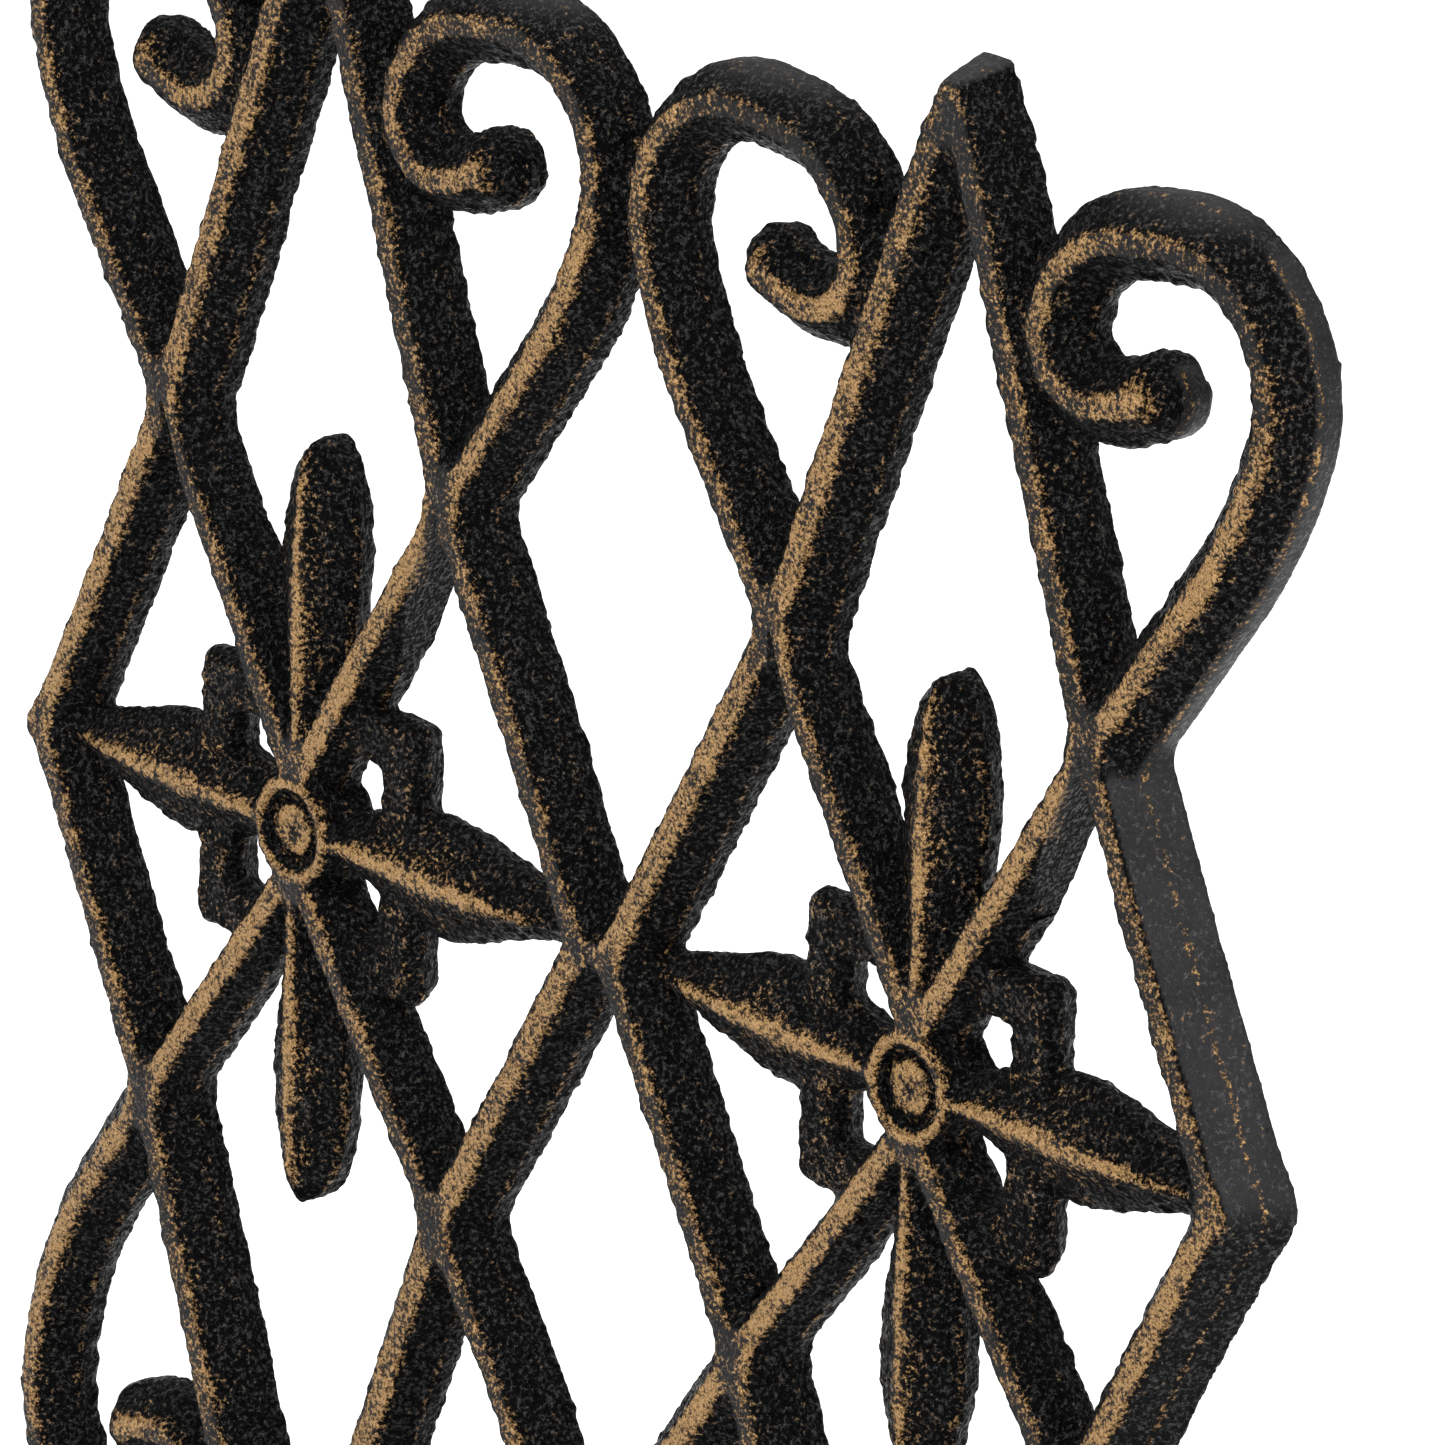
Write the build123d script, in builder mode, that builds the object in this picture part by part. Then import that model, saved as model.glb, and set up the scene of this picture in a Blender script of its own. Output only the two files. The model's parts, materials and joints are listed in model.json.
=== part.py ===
"""Openwork cast-iron lattice panel: two rosettes side by side in a diamond lattice.

Frame: +X to the right, +Z up, the back of the casting is the plane y = 0 and the front faces -Y.
The origin is on the back face, where the four centre bars cross. All sizes are in millimetres.

Only the right-hand half is drawn. The left-hand half is its mirror image about x = 0.
The lower half has the same members as the upper one, drawn on its own crossing points and
turned over about z = 0.
"""

from build123d import *
import os
from math import atan2, degrees, hypot

# ---- driving dimensions -------------------------------------------------------------------------
PITCH = 140.0            # between the two rosette centres
DEPTH = 10.5             # front crest of the bars to the flat back
PARTING = 4.8            # height of the mould's parting line above the back
EDGE_X = 132.9           # centre line of the edge bars where they meet, at mid height
WAIST = 3.3              # centre line of the centre bars at mid height, from the middle of the panel
TIP_Z = 153.4            # where the two legs of a spear meet, above or below mid height

# Sections: half width on one side of a member's crest line, at the crest, at the parting line and
# at the back. RIM and SCROLL_RIM are for the side that lies on the panel's edge.
BAR = (1.9, 5.8, 5.3)
RIM = (1.9, 4.9, 7.4)
DIAGONAL = (1.8, 4.8, 4.2)
LEG_INSIDE = (1.9, 7.0, 6.8)
SCROLL_INSIDE = (1.6, 6.5, 5.7)
SCROLL_OUTSIDE = (1.6, 5.8, 5.6)
SCROLL_RIM = (1.6, 6.6, 6.4)

# Each half: x of the inner and of the outer crossing point, their distance from z = 0, how far from
# the rosette's centre the two diagonals' lines meet, and the crest line of a scroll from its
# crossing point: a straight stem to the first place, then tangent arcs through the others
UPPER = {"inner_x": 36.8, "outer_x": 103.2, "z": 62.0, "fan": 7.5, "stem": (19.5, 28.0),
         "arcs": [(30.8, 52.0), (10.0, 77.0), (1.0, 75.8), (-13.5, 61.5), (-2.5, 50.5), (6.0, 53.5)]}
LOWER = {"inner_x": 35.2, "outer_x": 105.6, "z": 55.0, "fan": 6.0, "stem": (15.0, 22.0),
         "arcs": [(27.5, 58.0), (8.0, 85.0), (-14.5, 69.0), (-3.5, 58.0), (5.0, 60.5)]}

HUB_R, HUB_CREST_R, HUB_DISH_R, HUB_DISH = 9.2, 7.8, 6.2, 1.4
HUB_BUTTON_R, HUB_BUTTON = 4.2, 0.8

# Stations along a leaf: distance from the rosette's centre, half width, and how far the leaf's
# ridge lies behind the bars' front crest
UPRIGHT_LEAF = [(7.0, 2.4, 0.4), (20.0, 5.2, 0.2), (34.0, 8.0, 0.2), (46.0, 8.8, 0.6),
                (54.5, 7.2, 1.2), (59.5, 4.6, 2.2), (62.6, 1.4, 4.0)]
LEVEL_LEAF = [(7.0, 3.6, 0.4), (19.0, 7.6, 0.2), (31.0, 9.9, 0.2), (44.0, 7.0, 0.8),
              (54.0, 3.8, 2.4), (61.0, 1.4, 4.6)]

# Corner brackets, measured from the rosette's centre
BRACKET_X, BRACKET_Z = 26.5, 23.5    # outer corner
BRACKET_ARM = 9.2                    # width of both arms
BRACKET_HEIGHT = 7.9                 # stands lower than the bars
BRACKET_ROUND = 2.6

SCROLL_END_R, SCROLL_END_FRONT_R, SCROLL_END_HEIGHT = 5.6, 3.0, 9.3

SPEAR_CROTCH = 16.4      # from where the legs meet down to where they have merged into the head
SPEAR_PEAK = 2.2         # from where the legs meet up to the sharp tip, which is at the back
TIP_SLOPE = 0.22         # how fast the ground tip rises towards the back
SHOULDER = (0.5, 0.5)    # half width of the head's tip at the front, how fast it widens below it
SHOULDER_DRAFT = 0.28    # and how fast it widens towards the back
RUN_ON = 9.0             # members start this far before a crossing and are trimmed back to it

HUB_X = PITCH / 2


# ---- shapes shared by several members -----------------------------------------------------------
def across(start, direction):
    """The plane across a member: local x to the right of its run, local y towards the back."""
    length = hypot(*direction)
    dx, dz = direction[0] / length, direction[1] / length
    return Plane(origin=(start[0], 0, start[1]), x_dir=(dz, 0, -dx), z_dir=(dx, 0, dz))


def rib_outline(left, right):
    """The corners of a rib's section, with the crest line above the local origin."""
    return [(right[2], 0), (right[1], -PARTING), (right[0], -DEPTH),
            (-left[0], -DEPTH), (-left[1], -PARTING), (-left[2], 0)]


def bar_between(start, end, left=BAR, right=BAR):
    """A straight bar, from RUN_ON before start to RUN_ON past end; left and right of its run."""
    run = (end[0] - start[0], end[1] - start[1])
    length = hypot(*run)
    first = (start[0] - run[0] / length * RUN_ON, start[1] - run[1] / length * RUN_ON)
    with BuildPart() as bar:
        with BuildSketch(across(first, run)):
            with BuildLine():
                Polyline(*rib_outline(left, right), close=True)
            make_face()
        extrude(amount=length + 2 * RUN_ON)
    return bar.part


def leaf_along(direction, stations):
    """A ridged leaf that grows from the rosette's centre in the given direction."""
    with BuildPart() as leaf:
        for distance, half, sunk in stations:
            ridge = DEPTH - sunk
            centre = (HUB_X + direction[0] * distance, direction[1] * distance)
            with BuildSketch(across(centre, direction)):
                with BuildLine():
                    Polyline((0.8 * half, 0), (half, -PARTING), (0.15 * half, -ridge),
                             (-0.15 * half, -ridge), (-half, -PARTING), (-0.8 * half, 0),
                             close=True)
                make_face()
        loft(ruled=True)
    return leaf.part


def scroll_from_origin(stem, arcs, outside):
    """A scroll that starts at the origin, leans to the right and curls back to the left."""
    stem_length = hypot(*stem)
    unit = (stem[0] / stem_length, stem[1] / stem_length)
    start = (-unit[0] * RUN_ON, -unit[1] * RUN_ON)
    with BuildPart() as scroll:
        with BuildLine() as crest:
            piece = Line((start[0], 0, start[1]), (stem[0], 0, stem[1]))
            for x, z in arcs:
                piece = TangentArc(piece @ 1, (x, 0, z), tangent=piece % 1)
        with BuildSketch(across(start, stem)):
            with BuildLine():
                Polyline(*rib_outline(SCROLL_INSIDE, outside), close=True)
            make_face()
        sweep(path=crest.line)
        end = arcs[-1]
        with BuildSketch(Plane(origin=(end[0], 0, end[1]), x_dir=(1, 0, 0), z_dir=(0, -1, 0))):
            Circle(SCROLL_END_R)
        extrude(amount=PARTING)
        with BuildSketch(Plane(origin=(end[0], -PARTING, end[1]), x_dir=(1, 0, 0),
                               z_dir=(0, -1, 0))):
            Circle(SCROLL_END_R)
        slope = degrees(atan2(SCROLL_END_R - SCROLL_END_FRONT_R, SCROLL_END_HEIGHT - PARTING))
        extrude(amount=SCROLL_END_HEIGHT - PARTING, taper=slope)
    return scroll.part


def rosette_hub():
    """The round boss: a rounded ring on the front with a dish and a small button inside it."""
    with BuildPart() as hub:
        with BuildSketch(Plane.XY):
            with BuildLine():
                Polyline((0, 0), (HUB_R, 0), (HUB_R, DEPTH - 1.2), (HUB_CREST_R, DEPTH),
                         (HUB_DISH_R, DEPTH - HUB_DISH), (HUB_BUTTON_R, DEPTH - HUB_DISH),
                         (HUB_BUTTON_R - 0.8, DEPTH - HUB_DISH + HUB_BUTTON),
                         (0, DEPTH - HUB_DISH + HUB_BUTTON), close=True)
            make_face()
        revolve(axis=Axis.Y)
    # turned over, so that the ring faces -Y, and moved to the rosette's centre
    return hub.part.rotate(Axis.X, 180).moved(Location((HUB_X, 0, 0)))


def bracket(side):
    """An L-shaped bracket; side is 1 away from the panel's middle and -1 towards it."""
    plane = Plane(origin=(HUB_X, 0, 0), x_dir=(1, 0, 0), z_dir=(0, -1, 0))
    inner_x, inner_z = BRACKET_X - BRACKET_ARM, BRACKET_Z - BRACKET_ARM
    with BuildPart() as corner:
        with BuildSketch(plane):
            with BuildLine():
                Polyline((side * 4, BRACKET_Z), (side * BRACKET_X, BRACKET_Z), (side * BRACKET_X, 0),
                         (side * inner_x, 0), (side * inner_x, inner_z), (side * 4, inner_z),
                         close=True)
            make_face()
        extrude(amount=BRACKET_HEIGHT)
        upright = corner.edges().filter_by(Axis.Y)
        fillet(upright.sort_by(Axis.Z)[-2:].sort_by(Axis.X)[-1 if side > 0 else 0], BRACKET_ROUND)
        rim = corner.faces().sort_by(Axis.Y)[0].edges()
        chamfer(rim, 1.6)
    return corner.part


def keep_side(point, normal):
    """Trims the part being built to the side of an upright plane that the normal points to."""
    split(bisect_by=Plane(origin=(point[0], 0, point[1]), z_dir=(normal[0], 0, normal[1])),
          keep=Keep.TOP)


def one_solid(part):
    """The member itself, without loose slivers that trimming may leave."""
    return part.solids().sort_by(SortBy.VOLUME)[-1]


# ---- the members of one half, as if it were the upper one ---------------------------------------
def half_members(size):
    """Every member of the right-hand rosette's half that stands on these crossing points."""
    inner, outer = (size["inner_x"], size["z"]), (size["outer_x"], size["z"])
    fan = (HUB_X, size["fan"])
    tip = (HUB_X, TIP_Z)
    up, down, right, left = (0, 1), (0, -1), (1, 0), (-1, 0)
    made = {}

    with BuildPart() as edge_bar:
        add(bar_between(outer, (EDGE_X, 0), left=RIM))
        keep_side(outer, down)
        keep_side(outer, right)
        keep_side((0, 0), up)
    made["edge_bar"] = edge_bar.part

    with BuildPart() as centre_bar:
        add(bar_between(inner, (WAIST, 0)))
        keep_side(inner, down)
        keep_side(inner, left)
        keep_side((0, 0), up)
        keep_side((0, 0), right)
    made["centre_bar"] = centre_bar.part

    with BuildPart() as outer_diagonal:
        add(bar_between(outer, fan, DIAGONAL, DIAGONAL))
        keep_side(outer, down)
        keep_side(outer, left)
        keep_side(fan, right)
        keep_side((0, 0), up)
        add(HUB, mode=Mode.SUBTRACT)
    made["outer_diagonal"] = outer_diagonal.part

    with BuildPart() as inner_diagonal:
        add(bar_between(inner, fan, DIAGONAL, DIAGONAL))
        keep_side(inner, down)
        keep_side(inner, right)
        keep_side(fan, left)
        keep_side((0, 0), up)
        add(HUB, mode=Mode.SUBTRACT)
    made["inner_diagonal"] = inner_diagonal.part

    with BuildPart() as leaf:
        add(leaf_along((0, 1), UPRIGHT_LEAF))
        add([HUB, outer_diagonal.part, inner_diagonal.part], mode=Mode.SUBTRACT)
    made["leaf"] = leaf.part

    for name, side, neighbours in (("outer_bracket", 1, [HUB, outer_diagonal.part, OUTER_LEAF]),
                                   ("inner_bracket", -1, [HUB, inner_diagonal.part, INNER_LEAF])):
        with BuildPart() as corner:
            add(bracket(side))
            add(neighbours, mode=Mode.SUBTRACT)
        made[name] = corner.part

    head_z = (0, TIP_Z - SPEAR_CROTCH)
    legs = {}
    for name, foot, inward in (("outer", outer, left), ("inner", inner, right)):
        sides = (LEG_INSIDE, BAR) if name == "outer" else (BAR, LEG_INSIDE)
        with BuildPart() as leg:
            add(bar_between(foot, tip, *sides))
            keep_side(foot, up)
            keep_side(foot, inward)
            keep_side(tip, (-inward[0], 0))
        legs[name] = leg.part
        with BuildPart() as lower_leg:
            add(leg.part)
            keep_side(head_z, down)
        made[f"spear_{name}_leg"] = lower_leg.part

    with BuildPart() as head:
        add([legs["outer"], legs["inner"]])
        keep_side(head_z, up)
        for side in (1, -1):
            corner = (HUB_X + side * SHOULDER[0], -DEPTH, TIP_Z + SPEAR_PEAK)
            split(bisect_by=Plane(origin=corner, z_dir=(-side, SHOULDER_DRAFT, -SHOULDER[1])),
                  keep=Keep.TOP)
        split(bisect_by=Plane(origin=(HUB_X, 0, TIP_Z + SPEAR_PEAK), z_dir=(0, TIP_SLOPE, -1)),
              keep=Keep.TOP)
    made["spear_head"] = head.part

    with BuildPart() as outer_scroll:
        add(scroll_from_origin(size["stem"], size["arcs"], SCROLL_RIM)
            .moved(Location((outer[0], 0, outer[1]))))
        keep_side(outer, up)
        add(legs["outer"], mode=Mode.SUBTRACT)
    made["outer_scroll"] = outer_scroll.part

    with BuildPart() as inner_scroll:
        add(scroll_from_origin(size["stem"], size["arcs"], SCROLL_OUTSIDE)
            .mirror(Plane.YZ).moved(Location((inner[0], 0, inner[1]))))
        keep_side(inner, up)
        keep_side((0, 0), right)
        add(legs["inner"], mode=Mode.SUBTRACT)
    made["inner_scroll"] = inner_scroll.part
    return made


# ---- the rosette's own members -------------------------------------------------------------------
HUB = rosette_hub()
OUTER_LEAF = leaf_along((1, 0), LEVEL_LEAF)
INNER_LEAF = leaf_along((-1, 0), LEVEL_LEAF)
upper = half_members(UPPER)
lower = half_members(LOWER)

members = {"rosette_hub": HUB}
for name, blank, bar in (("outer_leaf", OUTER_LEAF, "edge_bar"),
                         ("inner_leaf", INNER_LEAF, "centre_bar")):
    with BuildPart() as level_leaf:
        add(blank)
        add(HUB, mode=Mode.SUBTRACT)
        for half, turned in ((upper, False), (lower, True)):
            for neighbour in (bar, name.replace("leaf", "diagonal")):
                cutter = half[neighbour].mirror(Plane.XY) if turned else half[neighbour]
                add(cutter, mode=Mode.SUBTRACT)
    members[name] = level_leaf.part
for name, part in upper.items():
    members[f"upper_{name}"] = part
for name, part in lower.items():
    members[f"lower_{name}"] = part.mirror(Plane.XY)

# ---- both sides, one STEP file for each member ---------------------------------------------------
os.makedirs("parts", exist_ok=True)
for side in ("right", "left"):
    for name, part in members.items():
        with BuildPart() as member:
            add(one_solid(part) if side == "right" else one_solid(part).mirror(Plane.YZ))
        member.part.label = f"{side}_{name}"
        export_step(member.part, f"parts/{side}_{name}.step")
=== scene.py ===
"""The look of the openwork cast-iron trellis panel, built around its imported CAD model.

The casting is described once as a solid field: a number that is below zero inside the iron. Ribs,
leaves, brackets, scrolls and hubs are blended into it with fillets, as a foundry pattern would be.
One skin is drawn around the field, roughened like sand-cast iron, and cut into the same members as
the CAD model. Lengths in the field are millimetres: x to the right, z up and h forwards from the
flat back. Blender's own lengths are metres, with the front facing -Y.
"""

import json
import math

import bmesh
import bpy
import numpy as np
from mathutils import Matrix, Vector


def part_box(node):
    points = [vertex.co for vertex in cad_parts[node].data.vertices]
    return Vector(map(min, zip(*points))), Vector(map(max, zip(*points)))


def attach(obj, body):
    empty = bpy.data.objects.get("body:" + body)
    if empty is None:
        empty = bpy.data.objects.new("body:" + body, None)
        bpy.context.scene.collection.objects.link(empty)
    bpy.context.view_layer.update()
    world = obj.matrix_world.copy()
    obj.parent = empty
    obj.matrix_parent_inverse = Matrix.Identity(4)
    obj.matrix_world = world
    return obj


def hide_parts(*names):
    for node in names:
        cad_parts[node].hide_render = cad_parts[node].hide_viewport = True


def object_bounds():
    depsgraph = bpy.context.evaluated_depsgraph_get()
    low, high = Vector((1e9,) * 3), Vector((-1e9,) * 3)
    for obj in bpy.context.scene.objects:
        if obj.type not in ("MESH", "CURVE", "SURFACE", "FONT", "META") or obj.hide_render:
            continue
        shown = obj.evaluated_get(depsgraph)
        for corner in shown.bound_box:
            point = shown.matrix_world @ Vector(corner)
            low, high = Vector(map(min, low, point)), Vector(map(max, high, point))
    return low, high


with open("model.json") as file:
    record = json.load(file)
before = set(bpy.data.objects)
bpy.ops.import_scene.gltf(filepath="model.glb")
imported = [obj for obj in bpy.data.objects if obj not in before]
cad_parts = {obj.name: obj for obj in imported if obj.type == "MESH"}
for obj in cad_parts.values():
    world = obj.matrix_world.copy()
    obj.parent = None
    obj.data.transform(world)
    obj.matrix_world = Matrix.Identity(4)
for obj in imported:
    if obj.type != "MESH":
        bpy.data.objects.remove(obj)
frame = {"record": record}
cad_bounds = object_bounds()

MM = 0.001
SIDES = {"right": 1, "left": -1}


def node_box(name):
    """A CAD node's lowest and highest corners in millimetres."""
    low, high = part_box(name)
    return np.array(low) / MM, np.array(high) / MM


# ---- places taken from the frame -----------------------------------------------------------------
hub_low, hub_high = node_box("right_rosette_hub")
HUB_X = (hub_low[0] + hub_high[0]) / 2
HUB_R = (hub_high[0] - hub_low[0]) / 2
DEPTH = hub_high[1] - hub_low[1]

# ---- sections ------------------------------------------------------------------------------------
PARTING = 0.46 * DEPTH          # height of the mould's parting line above the back
BAR = (1.9, 5.8, 5.3)           # half width on one side, at the crest, the parting line and the back
RIM = (1.9, 4.9, 7.4)           # a bar's side that lies on the panel's edge
DIAGONAL = (1.8, 4.8, 4.2)
LEG_INSIDE = (1.9, 7.0, 6.8)    # the sides of a spear's legs that face each other
SCROLL_OUTSIDE = (1.6, 5.8, 5.6)
SCROLL_RIM = (1.6, 6.6, 6.4)    # a scroll's outside on the panel's edge
SCROLL_INSIDE = (1.6, 6.5, 5.7)
CREST_ROUND = 0.6               # rounding of the crest's edges
FILLET = 2.6                    # fillets where members meet

TIP_Z = 153.4                   # where a spear's two legs meet, above or below mid height
HEAD_DROP = 16.4                # from there down to where the legs have merged into the head
EDGE_X = 132.9                  # the edge bars' crest line at mid height
WAIST = 3.3                     # the centre bars' crest line at mid height, from the panel's middle
KNOB = (3.0, 5.9, 5.4)          # the scroll's end: its radius at the front, at the parting, at the back
KNOB_SUNK = 1.2                 # the knob's top lies this far behind the bars' crest

# Stations of a leaf: distance from the hub's centre, half width, and how far its ridge lies behind
# the bars' crest
UPRIGHT_LEAF = [(4.0, 2.0, 0.3), (9.0, 2.8, 0.3), (20.0, 5.2, 0.2), (34.0, 8.0, 0.2), (46.0, 8.8, 0.5),
                (54.5, 7.3, 1.0), (59.5, 4.9, 1.8), (62.4, 2.0, 3.4), (64.5, -2.5, 5.0)]
LEVEL_LEAF = [(4.0, 2.6, 0.3), (9.0, 4.0, 0.2), (19.0, 7.8, 0.2), (31.0, 10.0, 0.2), (44.0, 6.8, 0.8),
              (54.0, 3.7, 2.4), (61.0, 1.3, 4.4), (66.0, -2.0, 5.2)]

BRACKET_CORNER = (26.5, 23.5)
BRACKET_ARM = 9.2
BRACKET_SUNK = 2.6              # the brackets' tops lie this far behind the bars' crest

PEAK = 2.2                      # from where a spear's legs meet up to its sharp tip, at the back
TIP_SLOPE = 0.22                # how fast a spear's ground tip rises from the front to the back
SHOULDER = (0.5, 0.5)           # half width of a spear's tip at the front, how fast it widens below it
SHOULDER_DRAFT = 0.28           # and how fast it widens towards the back
GRID = 0.6                      # spacing of the points at which the field is worked out
SEAM_HUB = 11.0                 # half size of the square that the hub piece is cut to


class Half:
    """The crossing points of the upper or lower half, as offsets from the rosette's centre."""

    def __init__(self, name, turn, fan, stem, arcs):
        edge_low, edge_high = node_box(f"right_{name}_edge_bar")
        self.name = name
        self.turn = turn
        self.fan = fan
        self.stem = stem
        self.arcs = arcs
        self.rise = edge_high[2] if turn > 0 else -edge_low[2]
        self.reach = edge_low[0] - HUB_X
        self.tip = TIP_Z


# fan: how far from the rosette's centre the diagonals' lines meet; stem and arcs: a scroll's crest
# line from its crossing, first straight to the stem's end, then tangent arcs to the places
HALVES = [
    Half("upper", 1, 7.5, (19.5, 28.0),
         [(30.8, 52.0), (10.0, 77.0), (1.0, 75.8), (-13.5, 61.5), (-2.5, 50.5), (6.0, 53.5)]),
    Half("lower", -1, 6.0, (15.0, 22.0),
         [(27.5, 58.0), (8.0, 85.0), (-14.5, 69.0), (-3.5, 58.0), (5.0, 60.5)]),
]
# how far from the rosette's centre the edge bars and centre bars meet, outwards and inwards
VERTEX = {"outer": EDGE_X - HUB_X, "inner": HUB_X - WAIST}
OUTWARD = {"outer": 1, "inner": -1}


# ---- field tools ---------------------------------------------------------------------------------
def smooth_min(a, b, k):
    overlap = np.maximum(k - np.abs(a - b), 0)
    return np.minimum(a, b) - overlap * overlap / (4 * k)


def smooth_max(a, b, k):
    return -smooth_min(-a, -b, k)


def flank(distance, h, section, ridge=None):
    """Below zero inside the two sloping faces on one side of a rib's crest line."""
    front, wide, back = section
    rise = (DEPTH if ridge is None else ridge) - PARTING
    length = np.hypot(rise, wide - front)
    upper = (distance - wide) * rise / length + (h - PARTING) * (wide - front) / length
    length = np.hypot(PARTING, wide - back)
    lower = (distance - wide) * PARTING / length - (h - PARTING) * (wide - back) / length
    return smooth_max(upper, lower, 0.8)


def line_distance(x, z, points):
    """Distance to a chain of straight lines, positive to the right of its run, and negative left."""
    best = np.full(x.shape, 1e6)
    side = np.ones(x.shape)
    for (ax, az), (bx, bz) in zip(points[:-1], points[1:]):
        dx, dz = bx - ax, bz - az
        along = np.clip(((x - ax) * dx + (z - az) * dz) / (dx * dx + dz * dz), 0, 1)
        px, pz = x - ax - along * dx, z - az - along * dz
        distance = np.hypot(px, pz)
        closer = distance < best
        best = np.where(closer, distance, best)
        side = np.where(closer, np.sign(px * dz - pz * dx), side)
    return best, np.where(side == 0, 1, side)


def through(stations, column, s):
    """A smooth curve through the stations' values (Catmull-Rom)."""
    at = np.array([row[0] for row in stations])
    value = np.array([row[column] for row in stations])
    slope = np.gradient(value, at)
    i = np.clip(np.searchsorted(at, s) - 1, 0, len(at) - 2)
    width = at[i + 1] - at[i]
    t = np.clip((s - at[i]) / width, 0, 1)
    return ((2 * t**3 - 3 * t**2 + 1) * value[i] + (t**3 - 2 * t**2 + t) * width * slope[i]
            + (3 * t**2 - 2 * t**3) * value[i + 1] + (t**3 - t**2) * width * slope[i + 1])


def arc_points(start, heading, end, count):
    """Points on the arc that leaves start along heading and ends at end, and its last heading."""
    chord = np.subtract(end, start)
    turn = (math.atan2(chord[1], chord[0]) - heading + math.pi) % (2 * math.pi) - math.pi
    radius = np.hypot(*chord) / (2 * math.sin(turn))
    centre = np.add(start, (-radius * math.sin(heading), radius * math.cos(heading)))
    angles = heading - math.pi / 2 + np.linspace(0, 2 * turn, count + 1)[1:]
    points = [(centre[0] + radius * math.cos(a), centre[1] + radius * math.sin(a)) for a in angles]
    return points, heading + 2 * turn


def scroll_line(half):
    """Points along the crest line of a scroll, from its crossing."""
    points = [(0.0, 0.0), half.stem]
    heading = math.atan2(half.stem[1], half.stem[0])
    for end in half.arcs:
        arc, heading = arc_points(points[-1], heading, end, 14)
        points += arc
    return points


# ---- members, in a rosette's own coordinates: u outwards, v away from mid height -------------------
def bar_value(start, end, left=BAR, right=BAR):
    """A straight rib, with its sections to the left and right of its run."""
    def value(u, v, h):
        distance, side = line_distance(u, v, [start, end])
        signed = (distance * side)[..., None]
        return smooth_max(flank(signed, h, right), flank(-signed, h, left), 0.5)
    return value


def scroll_value(half, outside):
    points = [(half.reach + x, half.rise + z) for x, z in scroll_line(half)]
    end = points[-1]

    def value(u, v, h):
        distance, side = line_distance(u, v, points)
        signed = (distance * side)[..., None]
        rib = smooth_max(flank(signed, h, outside), flank(-signed, h, SCROLL_INSIDE), 0.5)
        knob = np.hypot(u - end[0], v - end[1])[..., None]
        # past its end, the line's own section is closed off by the knob
        rib = np.maximum(rib, distance[..., None] - 9.0)
        top = DEPTH - KNOB_SUNK
        return smooth_min(rib, smooth_max(flank(knob, h, KNOB, top), h - top, 1.6), 1.2)
    return value


def leaf_value(stations, upright):
    def value(u, v, h):
        s, t = (v, u) if upright else (u, v)
        half_width = through(stations, 1, s)[..., None]
        ridge = DEPTH - through(stations, 2, s)[..., None] - PARTING
        across = np.sqrt(t * t + 0.3)[..., None] - 0.3
        width = np.maximum(half_width, 0.4)
        length = np.hypot(ridge, width)
        upper = (across - half_width) * ridge / length + (h - PARTING) * width / length
        upper = upper - 0.45 * np.clip(1 - (across / width) ** 2, 0, 1)
        length = np.hypot(PARTING, 0.2 * width)
        lower = (across - half_width) * PARTING / length - (h - PARTING) * 0.2 * width / length
        root = (6.0 - s)[..., None]
        return smooth_max(smooth_max(upper, lower, 0.7), root, 0.5)
    return value


def bracket_value(u, v, h):
    corner_u, corner_v = BRACKET_CORNER
    outside = smooth_max(u - corner_u, v - corner_v, 3.0)
    hole = smooth_max(u - corner_u + BRACKET_ARM, v - corner_v + BRACKET_ARM, 3.0)
    ring = np.maximum(np.maximum(outside, -hole), np.maximum(8.0 - u, 5.0 - v))[..., None]
    top = DEPTH - BRACKET_SUNK
    sides = flank(ring, h, (-1.4, 0.0, -2.0), top + 1.0)
    return smooth_max(sides, h - top, 1.4)


def hub_value(u, v, h):
    r = np.hypot(u, v)[..., None]
    drum = smooth_max(flank(r, h, (HUB_R - 1.0, HUB_R, HUB_R)), h - (DEPTH - 1.6), 0.6)
    ring = np.hypot(r - (HUB_R - 1.7), h - (DEPTH - 1.1)) - 1.45
    button = smooth_max(r - 4.3, h - (DEPTH - 0.55), 0.9)
    dimple = 1.2 - np.hypot(r, h - (DEPTH + 0.3))
    return smooth_min(smooth_min(drum, ring, 0.6), smooth_max(button, dimple, 0.5), 0.4)


# ---- the whole field -----------------------------------------------------------------------------
def axis(low, high):
    return np.arange(math.floor(low / GRID), math.ceil(high / GRID) + 1) * GRID


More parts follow.
